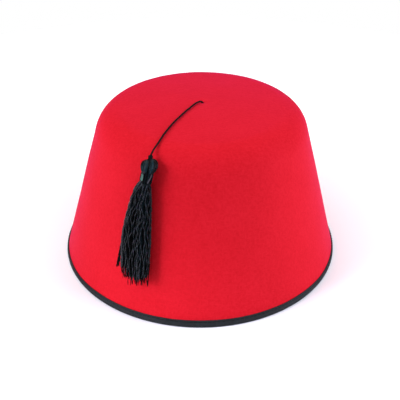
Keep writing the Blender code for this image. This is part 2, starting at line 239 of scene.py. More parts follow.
def rowAt(rows, place):
    # the rest of a row at this place, between rows that run up or down by their first value
    for near, far in zip(rows, rows[1:]):
        share = (place - near[0]) / (far[0] - near[0])
        if share <= 1.0:
            break
    share = min(1.0, max(0.0, share))
    return tuple(a + (b - a) * share for a, b in zip(near[1:], far[1:]))


def aroundUnevenly(count, uneven):
    # numbered angles round a turn, each moved by up to this share of the way between them
    for index in range(count):
        yield index, tau * (index + random.uniform(-uneven, uneven)) / count


# material helpers
def newMaterial(name):
    material = bpy.data.materials.new(name)
    material.use_nodes = True
    return material, material.node_tree, material.node_tree.nodes["Principled BSDF"]


def connect(tree, value, socket):
    # a socket is linked, anything else is set as the value
    if isinstance(value, bpy.types.NodeSocket):
        tree.links.new(value, socket)
    else:
        socket.default_value = value


def setNode(tree, node, **settings):
    for key, value in settings.items():
        if hasattr(node, key):
            setattr(node, key, value)
        else:
            connect(tree, value, node.inputs[key.replace("_", " ")])
    return node


def addNode(tree, kind, **settings):
    return setNode(tree, tree.nodes.new(kind), **settings)


def objectNoise(tree, scale, stretch=(1.0, 1.0, 1.0), turn=(0.0, 0.0, 0.0), detail=2.0):
    place = addNode(tree, "ShaderNodeTexCoord").outputs["Object"]
    place = addNode(tree, "ShaderNodeMapping", Vector=place, Scale=stretch, Rotation=turn).outputs["Vector"]
    return addNode(tree, "ShaderNodeTexNoise", Vector=place, Scale=scale, Detail=detail).outputs["Fac"]


def colourRamp(tree, value, stops):
    ramp = addNode(tree, "ShaderNodeValToRGB", Fac=value)
    elements = ramp.color_ramp.elements
    while len(elements) < len(stops):
        elements.new(0.5)
    for element, (place, colour) in zip(elements, stops):
        element.position = place
        element.color = (*colour, 1.0)
    return ramp.outputs["Color"]


def mapRange(tree, value, low, high, fromLow=0.3, fromHigh=0.7):
    node = addNode(tree, "ShaderNodeMapRange", Value=value, From_Min=fromLow, From_Max=fromHigh)
    return setNode(tree, node, To_Min=low, To_Max=high).outputs["Result"]


def mathNode(tree, operation, a, b):
    node = addNode(tree, "ShaderNodeMath", operation=operation)
    connect(tree, a, node.inputs[0])
    connect(tree, b, node.inputs[1])
    return node.outputs["Value"]


def blended(tree, first, second, share):
    # share is what the second one makes of the sum
    rest = mathNode(tree, "MULTIPLY", first, 1.0 - share)
    return mathNode(tree, "ADD", rest, mathNode(tree, "MULTIPLY", second, share))


def addSurface(tree, shader, look, shade, grain):
    # shade picks the colour from the tints, grain makes the roughness and the relief
    bump = addNode(tree, "ShaderNodeBump", Height=grain, Strength=look["bump"], Distance=look["bumpDepth"])
    setNode(tree, shader, Base_Color=colourRamp(tree, shade, look["tints"]), Normal=bump.outputs["Normal"])
    roughness = mapRange(tree, grain, *look["roughness"])
    setNode(tree, shader, Roughness=roughness, Specular_IOR_Level=look["gloss"])


feltLook = {
    "tints": [  # place on the ramp, colour
        (0.40, (0.582, 0.0061, 0.0134)),
        (0.52, (0.620, 0.0072, 0.0160)),
        (0.66, (0.655, 0.0092, 0.0200)),
    ],
    "roughness": (0.95, 0.8),  # between the fibres and on them
    "gloss": 0.08,
    "sheen": 0.145,
    "sheenRoughness": 0.34,
    "sheenTint": (0.90, 0.14, 0.92),
    "bump": 0.24,
    "bumpDepth": 0.18 * mm,
    "cloudScale": 45.0,
    "fibreScale": 900.0,
    "fibreShare": 0.8,  # of the colour's unevenness; the clouds make the rest
}


def makeFelt():
    look = feltLook
    material, tree, shader = newMaterial("redFelt")
    clouds = objectNoise(tree, look["cloudScale"])
    lengthways = objectNoise(tree, look["fibreScale"], (1.0, 1.0, 0.3), detail=4.0)
    sideways = objectNoise(tree, look["fibreScale"], (0.35, 1.0, 1.0), (0.3, 0.5, 0.8), 4.0)
    fibres = mathNode(tree, "MAXIMUM", lengthways, sideways)
    addSurface(tree, shader, look, blended(tree, clouds, fibres, look["fibreShare"]), fibres)
    setNode(tree, shader, Sheen_Weight=look["sheen"], Sheen_Roughness=look["sheenRoughness"])
    setNode(tree, shader, Sheen_Tint=(*look["sheenTint"], 1.0))
    return material


ribbonLook = {
    "tints": [(0.38, (0.004, 0.006, 0.0065)), (0.62, (0.010, 0.014, 0.015))],
    "roughness": (0.75, 0.55),
    "gloss": 0.25,
    "sheen": 0.04,
    "bump": 0.4,
    "bumpDepth": 0.08 * mm,
    "weaveScale": 2600.0,
    "patchScale": 160.0,
    "patchShare": 0.4,  # of the colour's unevenness; the weave makes the rest
}


def makeRibbonCloth():
    look = ribbonLook
    material, tree, shader = newMaterial("blackRibbon")
    weave = objectNoise(tree, look["weaveScale"], (1.0, 1.0, 0.4))
    patches = objectNoise(tree, look["patchScale"])
    addSurface(tree, shader, look, blended(tree, weave, patches, look["patchShare"]), weave)
    setNode(tree, shader, Sheen_Weight=look["sheen"])
    return material


strandTints = [  # place on the ramp, colour
    (0.0, (0.0008, 0.0010, 0.0012)),
    (0.45, (0.0018, 0.0020, 0.0026)),
    (0.6, (0.0040, 0.0110, 0.0140)),
    (0.78, (0.0100, 0.0220, 0.0270)),
    (0.9, (0.0230, 0.0150, 0.0360)),
    (1.0, (0.0300, 0.0340, 0.0350)),
]
yarnLooks = {
    "blackYarn": {"tints": strandTints, "roughness": (0.52, 0.32), "gloss": 0.03},
    "shinyYarn": {"tints": strandTints, "roughness": (0.36, 0.16), "gloss": 0.27},
    "headYarn": {
        # its teal tints make the painted highlights of the head's lobes
        "tints": [
            (0.0, (0.0010, 0.0010, 0.0016)),
            (0.4, (0.0016, 0.0017, 0.0026)),
            (0.62, (0.0034, 0.0130, 0.0175)),
            (0.85, (0.0070, 0.0290, 0.0370)),
            (1.0, (0.0300, 0.0300, 0.0340)),
        ],
        "roughness": (0.42, 0.22),
        "gloss": 0.14,
    },
    "blackCord": {
        "tints": [(0.0, (0.0012, 0.0012, 0.0014)), (1.0, (0.0030, 0.0024, 0.0024))],
        "roughness": (0.67, 0.47),
        "gloss": 0.1,
    },
    "wrapThread": {
        "tints": [
            (0.5, (0.0320, 0.0760, 0.0600)),
            (0.8, (0.0680, 0.1600, 0.1280)),
            (1.0, (0.0480, 0.0400, 0.0520)),
        ],
        "roughness": (0.52, 0.32),
        "gloss": 0.2,
    },
}
yarnGrain = {
    "scale": 2500.0,
    "share": 0.2,  # how far it moves the colour along the ramp
    "bump": 0.35,
    "bumpDepth": 0.06 * mm,
}


def makeYarn(name):
    material, tree, shader = newMaterial(name)
    tint = addNode(tree, "ShaderNodeAttribute", attribute_name="tint")
    grain = objectNoise(tree, yarnGrain["scale"], (1.0, 1.0, 0.25))
    spread = mathNode(tree, "MULTIPLY", grain, yarnGrain["share"])
    shade = mathNode(tree, "ADD", tint.outputs["Fac"], spread)
    shade = mathNode(tree, "SUBTRACT", shade, 0.5 * yarnGrain["share"])
    addSurface(tree, shader, {**yarnGrain, **yarnLooks[name]}, shade, grain)
    return material


felt = makeFelt()
ribbonCloth = makeRibbonCloth()
yarns = {name: makeYarn(name) for name in yarnLooks}
print("materials made")

# the felt crown: one shell from the cord hole down the outside and back up the inside
crown = {
    "columns": 288,
    "topStep": 2.6 * mm,
    "shoulderStep": 1.8 * mm,
    "wallStep": 3.0 * mm,
    "sway": 0.16 * mm,       # slow unevenness of the felt
    "swaySize": 26.0 * mm,
    "finer": 2.7,            # a second unevenness, this much finer
    "finerShare": 0.4,
    "swayStart": 15.0 * mm,  # it grows over this way from the middle
    "swayEnd": 12.0 * mm,    # and fades over this way above the rim
    "holeRadius": 0.85 * mm,
    "holeRings": [0.0, 0.15, 0.4, 0.85, 1.45, 2.25, 3.35, 4.75],  # millimetres from the hole's edge
    "holeEdge": [-0.25 * mm, -0.07 * mm],  # how the first of them lie under the felt's face
    "holePlace": (0.5, 0.0),  # millimetres, where the cord comes through
    "holeShift": 4.0 * mm,   # how far round it the felt moves over with it
    "dimple": 0.35 * mm,     # how far the felt is drawn in round the cord
    "dimpleSize": 2.6 * mm,
}


def steps(start, end, step):
    count = max(1, round((end - start) / step))
    return [start + (end - start) * (i + 1) / count for i in range(count)]


def feltSway(point, run, footRun):
    place = point / crown["swaySize"]
    slow = noise.noise(place) + crown["finerShare"] * noise.noise(place * crown["finer"])
    fade = min(1.0, run / crown["swayStart"]) * min(1.0, max(0.0, (footRun - run) / crown["swayEnd"]))
    return crown["sway"] * slow * fade


def crownRing(run, lift, footRun):
    ring = []
    holeShift = Vector((*crown["holePlace"], 0.0)) * mm * exp(-((run / crown["holeShift"]) ** 2))
    drawnIn = crown["dimple"] * exp(-((run / crown["dimpleSize"]) ** 2))
    for column in range(crown["columns"]):
        bearing = 360.0 * column / crown["columns"]
        bump = feltSway(feltPlace(run, lift, bearing), run, footRun)
        ring.append(feltPlace(run, lift + bump - drawnIn, bearing) + holeShift)
    return ring


def makeCrown():
    thick = hatForm["felt"]
    foot = hatForm["gap"] + hatForm["ribbon"] + thick * sin(taper)
    footRun = runAtHeight(foot)
    outer = [crown["holeRadius"] + away * mm for away in crown["holeRings"]]
    outer += steps(outer[-1], topRun, crown["topStep"])
    outer += steps(topRun, wallStart, crown["shoulderStep"])
    outer += steps(wallStart, footRun, crown["wallStep"])
    inner = outer[::2] if outer[-1] == outer[::2][-1] else [*outer[::2], outer[-1]]
    edge = crown["holeEdge"]
    rings = []
    for i, run in enumerate(outer):
        rings.append(crownRing(run, edge[i] if i < len(edge) else 0.0, footRun))
    for run in reversed(inner):
        rings.append(crownRing(run, -thick, footRun))
    shape = newShape()
    addRings(shape, rings, loop=True)
    finishPiece("feltCrown", shape, felt, ["crown"], sharpAbove=60)


makeCrown()

# the ribbon folded round the felt's edge
binding = {
    "columns": 1440,
    "height": 4.6 * mm,     # inside, and outside at the front
    "narrower": [  # degrees from the front, millimetres by which the outer edge is lower
        (0.0, 0.0), (20.0, 0.2), (32.0, 0.4), (43.0, 0.55),
        (50.0, 0.9), (58.0, 1.4), (75.0, 1.7),
    ],
    "rounding": 0.7 * mm,   # of the fold's lower edges
    "foldSteps": [5, 25, 45, 65, 90],  # degrees round these edges
    "ribDepth": 0.05 * mm,  # fine ribs across the ribbon
    "columnsPerRib": 2,
    "wave": 0.12 * mm,      # unevenness of the upper edges
    "waveScale": 9.0,
    "overlapAt": 176.0,     # degrees, where one end of the ribbon lies over the other
    "overlapWidth": 5.0,
    "overlapLift": 0.3 * mm,
    "overlapRise": 12.0,    # how sharply it rises at the ribbon's end
    "overlapFall": 4.0,     # and falls on the other side
}


def bindingOutline():
    # rows of height, lift over the felt's outside, and share of ribs, overlap and wave
    height, rounding = binding["height"], binding["rounding"]
    outer = hatForm["gap"] + hatForm["ribbon"]
    inner = -hatForm["felt"] - outer
    snug = 0.02 * mm  # the ribbon's edges lie on the felt
    rows = [(height - 0.1 * mm, snug, 0.0, 0.0, 1.0), (height, 0.45 * outer, 0.3, 1.0, 1.0)]
    rows += [(height - 0.12 * mm, 0.85 * outer, 0.6, 1.0, 1.0), (height - 0.4 * mm, outer, 1.0, 1.0, 1.0)]
    rows += [(height * share, outer, 1.0, 1.0, share) for share in (0.75, 0.55, 0.35)]
    folds = binding["foldSteps"]
    for lift, side, overlap, turns in ((outer, -1.0, 1.0, folds), (inner, 1.0, 0.0, folds[::-1])):
        for turn in turns:
            angle = radians(turn)
            sink = rounding * (1.0 - cos(angle)) * cos(taper)
            rows.append((rounding * (1.0 - sin(angle)), lift + side * sink, 1.0, overlap, 0.0))
    rows += [(height * share, inner, 1.0, 0.0, share) for share in (0.35, 0.6, 0.85)]
    rows += [(height, inner + 0.4 * hatForm["ribbon"], 0.5, 0.0, 1.0)]
    rows += [(height - 0.1 * mm, -hatForm["felt"] - snug, 0.0, 0.0, 1.0)]
    rows += [(hatForm["ribbon"], -hatForm["felt"] - snug, 0.0, 0.0, 0.0)]
    rows += [(hatForm["ribbon"], snug, 0.0, 0.0, 0.0)]
    return rows


def lessHigh(bearing):
    # how much lower the outer edge lies at this bearing than at the front
    fromFront = abs((bearing + 180.0) % 360.0 - 180.0)
    return rowAt(binding["narrower"], fromFront)[0] * mm


def overlapShare(bearing):
    into = (bearing - binding["overlapAt"]) / binding["overlapWidth"]
    if into < 0.0 or into > 1.0:
        return 0.0
    return min(1.0, into * binding["overlapRise"]) * min(1.0, (1.0 - into) * binding["overlapFall"])


def makeBinding():
    rows = bindingOutline()
    rings = []
    for height, lift, ribs, overlap, wave in rows:
        ring = []
        side = -1.0 if lift < -0.5 * hatForm["felt"] else 1.0
        for column in range(binding["columns"]):
            bearing = 360.0 * column / binding["columns"]
            way = toward(bearing)
            valley = ribs * binding["ribDepth"] * (column % binding["columnsPerRib"])
            raised = overlap * binding["overlapLift"] * overlapShare(bearing)
            place = Vector((way.x * binding["waveScale"], way.y * binding["waveScale"], side * 3.0))
            uneven = wave * binding["wave"] * noise.noise(place)
            lower = wave * lessHigh(bearing) if side > 0.0 else 0.0
            z = max(0.0, height + uneven - lower)
            if height < binding["rounding"]:
                z = min(z + valley * (1.0 - height / binding["rounding"]), binding["rounding"])
            radius = wallRadius(z, lift - side * valley + raised)
            ring.append(way * radius + Vector((0.0, 0.0, z)))
        rings.append(ring)
    shape = newShape()
    addRings(shape, rings, loop=True)
    finishPiece("rimRibbon", shape, ribbonCloth, ["rim_binding"], sharpAbove=50)


makeBinding()

# the thread that sews the ribbon on, seen outside and inside
stitches = {
    "count": 204,
    "length": 2.3 * mm,
    "thread": 0.15 * mm,
    "height": 3.75 * mm,  # inside, and outside at the front
    "uneven": 0.05,       # of their places, as a share of the way between them
    "form": [  # share of half the length, height over the ribbon as a share of the thread
        (-1.0, -0.9), (-0.8, -0.1), (-0.3, 0.3),
        (0.3, 0.3), (0.8, -0.1), (1.0, -0.9),
    ],
}


def makeStitches():
    shape = newShape()
    outer = hatForm["gap"] + hatForm["ribbon"]
    half = 0.5 * degrees(stitches["length"] / wallRadius(stitches["height"]))
    for lift, side in ((outer, 1.0), (-hatForm["felt"] - outer, -1.0)):
        for index in range(stitches["count"]):
            aside = random.uniform(-stitches["uneven"], stitches["uneven"])
            middle = 360.0 * (index + aside) / stitches["count"]
            height = stitches["height"] - (lessHigh(middle) if side > 0.0 else 0.0)
            points = []
            for share, over in stitches["form"]:
                away = lift + side * over * stitches["thread"]
                place = toward(middle + share * half) * wallRadius(height, away)
                points.append(place + Vector((0.0, 0.0, height)))
            addTube(shape, points, lambda *_: stitches["thread"], sides=6, tint=0.4)
    finishPiece("ribbonStitches", shape, yarns["blackCord"])


makeStitches()

# the cord from its hole over the felt and down into the tassel
cordForm = {
    "radius": 0.6 * mm,
    "spacing": 0.25 * mm,
    "sides": 18,
    "plies": 3,
    "twist": 4.2 * mm,  # length of one full turn
    "plyDepth": 0.26,   # of the grooves between the plies, as a share of the radius
    "overFelt": [  # run, lift (mm), bearing (degrees)
        (0.58, -1.95, -94.9), (0.43, -0.59, -83.5), (0.35, 0.25, 8.9), (1.11, 0.81, 44.2),
        (2.05, 1.0, 50.6), (4.0, 1.0, 48.4), (6.0, 0.95, 45.3), (9.6, 0.9, 40.0),
        (13.1, 0.9, 36.9), (17.5, 0.9, 34.9), (23.0, 0.9, 32.8), (29.0, 0.9, 31.5),
        (35.0, 0.9, 30.4), (41.0, 0.9, 29.2), (47.0, 0.9, 28.1), (52.0, 0.9, 27.2),
        (57.0, 1.0, 26.5), (60.6, 1.3, 26.5), (63.6, 2.1, 26.5), (66.1, 3.2, 26.2),
        (68.1, 4.3, 25.7),  # the hanging knot
    ],
    "inTassel": [8.0, 5.0, 2.0, -1.0, -4.0, -8.0, -12.0, -16.0],  # heights in its frame (mm)
    "exit": (0.5 * mm, 0.0, 108.0 * mm),  # where it leaves the felt
}

# the tassel's outer form in a frame on the felt wall, in millimetres
tassel = {
    "bearing": 26.0,
    "form": [  # up, lift, side, half width, half depth
        (12.0, 1.5, 0.3, 0.9, 0.9), (8.7, 2.9, 0.9, 2.8, 2.2), (8.3, 3.1, 1.0, 3.9, 3.1),
        (7.6, 3.4, 1.2, 4.6, 3.6), (6.4, 4.1, 1.4, 5.1, 4.0), (4.8, 4.7, 1.5, 5.1, 4.1),
        (3.2, 5.2, 1.5, 4.4, 3.7), (2.0, 5.6, 1.4, 3.5, 3.2), (1.2, 5.7, 1.3, 2.6, 2.5),
        (-2.9, 5.8, 0.9, 2.6, 2.5), (-4.2, 5.8, 0.4, 3.7, 3.2), (-8.0, 5.7, -0.3, 5.2, 3.9),
        (-15.0, 5.5, -0.9, 6.8, 4.5), (-22.0, 5.3, -1.3, 7.8, 4.6), (-30.0, 5.2, -1.6, 8.9, 4.5),
        (-41.0, 5.1, -1.6, 10.0, 4.3), (-48.0, 5.0, -1.3, 10.0, 4.1), (-55.0, 4.9, -0.3, 9.4, 3.9),
        (-62.0, 4.7, 0.1, 8.9, 3.7), (-75.0, 4.3, 0.3, 8.2, 3.3),
    ],
}


def tasselFrame():
    # stands on the wall at the end of the shoulder: X right, Y inward, Z up the wall
    out, up = toward(tassel["bearing"]), Vector((0.0, 0.0, 1.0))
    inward = -(out * sin(wallTurn) + up * cos(wallTurn))
    along = -out * cos(wallTurn) + up * sin(wallTurn)
    standing = Matrix((inward.cross(along), inward, along)).transposed().to_4x4()
    standing.translation = feltPlace(wallStart, 0.0, tassel["bearing"])
    return standing


tasselPlace = tasselFrame()


def tasselSection(up):
    return rowAt(tassel["form"], up)


def inTassel(side, lift, up):
    # a place in the tassel's frame, in millimetres, as a point of the model
    return tasselPlace @ (Vector((side, -lift, up)) * mm)


def tasselMiddle(up):
    lift, side, _, _ = tasselSection(up)
    return inTassel(side, lift, up)


def plySize(radius, plies, twist, depth, start=0.0):
    # radius of a line twisted from several plies
    def sizeAt(share, walked, angle):
        turn = angle - tau * walked / twist - start
        return radius * (1.0 - depth + depth * abs(cos(0.5 * plies * turn)))
    return sizeAt


def cordRoute():
    overFelt = [feltPlace(run * mm, lift * mm, bearing) for run, lift, bearing in cordForm["overFelt"]]
    return overFelt + [tasselMiddle(up) for up in cordForm["inTassel"]]


def cordLine():
    return smoothLine(cordRoute(), cordForm["spacing"])


def makeCord():
    shape = newShape()
    size = plySize(cordForm["radius"], cordForm["plies"], cordForm["twist"], cordForm["plyDepth"])
    addTube(shape, cordLine(), size, cordForm["sides"])
    return finishPiece("tasselCord", shape, yarns["blackCord"], ["tassel_cord"])


tasselCord = makeCord()

# the small knot over the head, and the knot under the felt that stops the cord
knots = {
    "hangingTurns": 3,
    "hangingSteps": 16,  # in each turn
    "hangingThread": 0.48 * mm,
    "hangingTwist": 2.4 * mm,
    "hangingRadius": 0.95 * mm,
    "hangingForm": (0.75, 0.35),  # share of it at both ends, and how much more in the middle
    "hangingHeight": 1.6 * mm,  # from the first turn to the last
    "stopSteps": 96,
    "stopScale": 0.58 * mm,
    "stopThread": 0.56 * mm,
}


def makeHangingKnot():
    route = cordRoute()
    last = len(cordForm["overFelt"]) - 1
    middle = route[last]
    along = (route[last - 1] - route[last + 1]).normalized()
    across = along.orthogonal().normalized()
    over = along.cross(across)
    narrow, swell = knots["hangingForm"]
    points = []
    count = knots["hangingSteps"] * knots["hangingTurns"]
    for i in range(count + 1):
        share = i / count
        angle = tau * knots["hangingTurns"] * share
        radius = knots["hangingRadius"] * (narrow + swell * sin(pi * share))
        around = radius * (cos(angle) * across + sin(angle) * over)
        points.append(middle + along * knots["hangingHeight"] * (0.5 - share) + around)
    shape = newShape()
    size = plySize(knots["hangingThread"], plies=2, twist=knots["hangingTwist"], depth=0.25)
    addTube(shape, points, size, sides=10, tint=0.6)
    return finishPiece("hangingKnot", shape, yarns["blackCord"], ["hanging_knot"])


def makeStopKnot():
    # an overhand knot, flat under the felt, with the cord's end beside it
    low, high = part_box("stop_knot")
    middle = 0.5 * (low + high)
    points = []
    for i in range(knots["stopSteps"]):
        t = tau * i / knots["stopSteps"]
        reach = Vector((sin(t) + 2.0 * sin(2.0 * t), cos(t) - 2.0 * cos(2.0 * t)))
        points.append(middle + Vector((reach.x, reach.y, -sin(3.0 * t))) * knots["stopScale"])
    shape = newShape()
    size = plySize(knots["stopThread"], cordForm["plies"], cordForm["twist"], depth=0.2)
    addTube(shape, points, size, sides=12, loop=True)
    return finishPiece("stopKnot", shape, yarns["blackCord"], ["stop_knot"])


hangingKnot = makeHangingKnot()
stopKnot = makeStopKnot()

# the head: yarn looped over the cord in two lobes, under a cone of strands drawn up to the knot
head = {
    "lobeForm": [  # up, half width, half depth and way out from the middle (mm)
        (-1.8, 1.2, 2.2, 1.1), (1.1, 1.3, 2.3, 1.2), (2.0, 1.9, 3.0, 1.5),
        (3.2, 2.5, 3.7, 1.8), (4.8, 2.9, 4.1, 2.1), (6.2, 3.0, 4.1, 2.15),
        (7.4, 2.8, 3.8, 2.1), (8.3, 2.3, 3.1, 1.9), (8.9, 1.5, 2.1, 1.7),
        (9.2, 0.4, 0.6, 1.5),
    ],
    "lobes": [(-1.0, -0.6, 0.0), (1.0, 0.3, 0.12)],  # side, how much its top is higher (mm), painted shade that darkens the lobe
    "raisedFrom": 4.0,      # up from where it is higher, and the way over which that grows
    "raisedOver": 5.0,
    "turn": radians(25.0),  # of the lobes round the head, the left one forward
    "lobeStrands": 26,
    "strandRadius": 0.40,
    "uneven": 0.2,          # of the strands' places, as a share of the way between them
    "proud": (-0.15, 0.1),  # how far they stand out of the lobe
    "core": 0.55,           # how far its filling lies inside the lobe's form
    "coneForm": [(11.3, 0.35), (10.5, 0.65), (9.7, 1.05), (8.9, 1.55), (7.8, 1.85)],  # up, radius (mm)
    "coneStrands": 12,
    "coneStrand": 0.8,      # their radius as a share of the others'
    "coneDepth": 0.8,       # of the cone, as a share of its width
    "coneTwist": 0.18,      # radians from one row of the cone to the next
    "spacing": 0.5 * mm,
    "tints": (0.1, 0.82),   # painted shade: tint of the strands at the sides; painted highlight: tint of those in front on the left
    "tintUneven": 0.15,
    "paintedHighlightAt": radians(98.0),  # where the painted highlight is brightest, round the head, 90 degrees in front
    "paintedHighlightStrands": [(0, 3)],  # lobe and strand of a painted highlight streak, at full tint
}


def between(ends, share):
    return ends[0] + (ends[1] - ends[0]) * share


def paintedHighlightShare(angle):
    # painted highlight: one for strands in front on the left, none at the sides and behind, which keep
    # painted shade
    return max(0.0, cos(angle - head["paintedHighlightAt"])) ** 2


def lobePoint(angle, row, side, higher, inset):
    up, halfWidth, halfDepth, out = row
    raised = up + higher * max(0.0, up - head["raisedFrom"]) / head["raisedOver"]
    lift, middle, _, _ = tasselSection(up)
    across = side * out + max(0.1, halfWidth - inset) * cos(angle)
    forward = max(0.1, halfDepth - inset) * sin(angle)
    sine, cosine = sin(head["turn"]), cos(head["turn"])
    aside = middle + across * cosine + forward * sine
    away = lift + forward * cosine - across * sine
    return inTassel(aside, away, raised)


def conePoint(angle, up, radius):
    lift, middle, _, _ = tasselSection(up)
    away = lift - head["coneDepth"] * radius * sin(angle)
    return inTassel(middle + radius * cos(angle), away, up)


def yarnTwist(radius, plies=2, lengths=(2.2, 3.6), depth=0.35):
    # radius and lengths are millimetres
    return plySize(radius * mm, plies, random.uniform(*lengths) * mm, depth, random.uniform(0.0, tau))


def makeHead():
    shape = newShape()
    radius = head["strandRadius"]
    for lobe, (side, higher, paintedShade) in enumerate(head["lobes"]):
        for index, angle in aroundUnevenly(head["lobeStrands"], head["uneven"]):
            proud = random.uniform(*head["proud"])
            points = [lobePoint(angle, row, side, higher, radius - proud) for row in head["lobeForm"]]
            uneven = random.uniform(-head["tintUneven"], head["tintUneven"])
            # painted light: a painted highlight on the strands in front on the left, painted shade at the
            # sides and behind
            tint = between(head["tints"], paintedHighlightShare(angle)) + uneven - paintedShade
            # painted highlight: this strand gets the palest tint, as a streak
            tint = 1.0 if (lobe, index) in head["paintedHighlightStrands"] else tint
            addTube(shape, smoothLine(points, head["spacing"]), yarnTwist(radius), 7, tint)
        core = []
        for row in head["lobeForm"]:
            core.append([lobePoint(tau * k / 20, row, side, higher, head["core"]) for k in range(20)])
        addRings(shape, core, tint=0.1)
    for index in range(head["coneStrands"]):
        turn = tau * index / head["coneStrands"]
        points = []
        for i, (up, away) in enumerate(head["coneForm"]):
            points.append(conePoint(turn + head["coneTwist"] * i, up, away))
        size = yarnTwist(head["coneStrand"] * radius)
        addTube(shape, smoothLine(points, head["spacing"]), size, 7, random.uniform(0.0, 0.2))
    return finishPiece("tasselHead", shape, yarns["headYarn"], ["tassel"])


tasselHead = makeHead()

# the skirt: crinkled strands that cross as they hang, with ragged ends
skirt = {
    # strands, innermost and outermost share of the form, way between points (mm), sides, tints
    "outer": (104, 0.78, 0.97, 0.72, 5, (0.0, 0.58)),
    "inner": (112, 0.0, 0.78, 1.5, 4, (0.0, 0.3)),
    "spacing": 0.72,        # between points of the other strands; it and all lengths below are mm
    "strandRadius": 0.33,
    "top": -1.1,
    "hem": [  # side, up
        (-10.0, -59.8), (-8.7, -60.8), (-6.2, -62.8), (-3.1, -65.0),
        (0.0, -66.4), (4.6, -65.4), (8.6, -63.2), (10.0, -62.0),
    ],
    "uneven": 0.6,          # of the hem
    "radii": (0.85, 1.15),  # of the hanging strands, as shares of strandRadius
    "longEvery": 8,         # each such strand hangs out of the hem
    "longer": (2.4, 6.0),
    "crinkle": 0.36,
    "crinkleLength": (4.8, 7.6),
    "smallCrinkle": 0.10,
    "smallLength": (2.1, 3.0),
    "wander": 1.2,          # how far strands cross their neighbours
    "wanderLength": (13.0, 24.0),
    "freed": 7.0,           # how fast they come loose below the wrap
    "calmer": (0.4, 0.6, 0.5),  # how much less they crinkle, wander and twine at the end
    "lowest": 0.9,          # over the felt
    "endSize": 0.45,        # radius at the very end as a share, and how fast it grows from there
    "endTaper": 18.0,
    "shiny": 31,            # pale strands outermost, each on its own way
    "shinyOut": 1.02,       # share of the form at which they lie
    "shinyUneven": 0.3,     # of their places, as a share of the way between them
    "shinyRadius": 0.25,
    "shinyTints": (0.66, 0.98),
    "paintedGlint": 0.28,          # painted glints: how much their tint changes along the way
    "paintedGlintLength": (3.5, 8.0),
    "paintedShade": 0.3,          # painted shade on those on the right
    "lively": 1.2,          # their crinkle and wander as a share of the others'
    "pairs": 5,             # of such strands that twine round each other
    "pairsOut": 1.03,
    "pairTwine": (0.5, 1.0),
    "pairDepth": 0.3,       # of the twine as a share of its width
    "pairTwineLength": (9.0, 14.0),
    "splay": 0.35,          # how far the ends stray to the sides
    "flare": 1.6,           # how far those at the left spread
    "splayFrom": 0.8,       # share of the way where the ends begin to spread
    "straighter": 0.55,     # how much less the strands at the sides wave
    "tips": [  # side, up, strands
        (-9.4, -65.8, 2), (-7.0, -69.0, 2), (-4.4, -69.0, 1), (-1.5, -71.9, 3),
        (1.4, -69.6, 1), (5.2, -71.0, 2), (6.6, -69.0, 1), (9.2, -69.9, 3),
    ],
    "tipForm": [(16.0, 1.2), (8.0, 0.9), (3.0, 0.4)],  # height over the end, spread
    "tipEnd": (1.2, 0.12),  # how unevenly they end, spread
    "tipDepth": 0.3,        # share of the form at which they lie
    "tipRadius": 0.9,       # as a share of the others'
    "tipTints": (0.0, 0.4),
    "tipSink": (8.0, 0.2),  # below this height over the end they near the felt, and how fast
    "strays": [  # up, side and lift of a few strands out of the bundle
        (-28.0, -9.4, 4.6), (-39.4, -11.1, 3.7), (-47.9, -12.3, 3.0),
        (-54.4, -13.2, 2.6), (-59.3, -13.7, 2.4), (-64.4, -14.2, 2.2),
    ],
    "strayStrands": 7,
    "straySpread": (-0.35, 0.9),
    "strayWave": 0.22,
    "strayRate": 0.9,       # radians of the wave from point to point
    "strayCut": 2.5,        # how much shorter some are
    "strayEnd": 1.4,        # how much further apart they end
    "strayTints": (0.0, 0.2),
}


def skirtWaves(lively):
    # each wave has its size, length and phase, for the ways across and away from the felt
    waves = []
    for size, lengths in (("crinkle", "crinkleLength"), ("smallCrinkle", "smallLength")):
        swing = random.uniform(-0.9, 0.9)
        reach = skirt[size] * random.uniform(0.6, 1.25) * lively
        phase = random.uniform(0.0, tau)
        waves.append((reach * cos(swing), random.uniform(*skirt[lengths]), phase))
        waves.append((0.6 * reach * sin(swing), waves[-1][1], phase))
    return waves


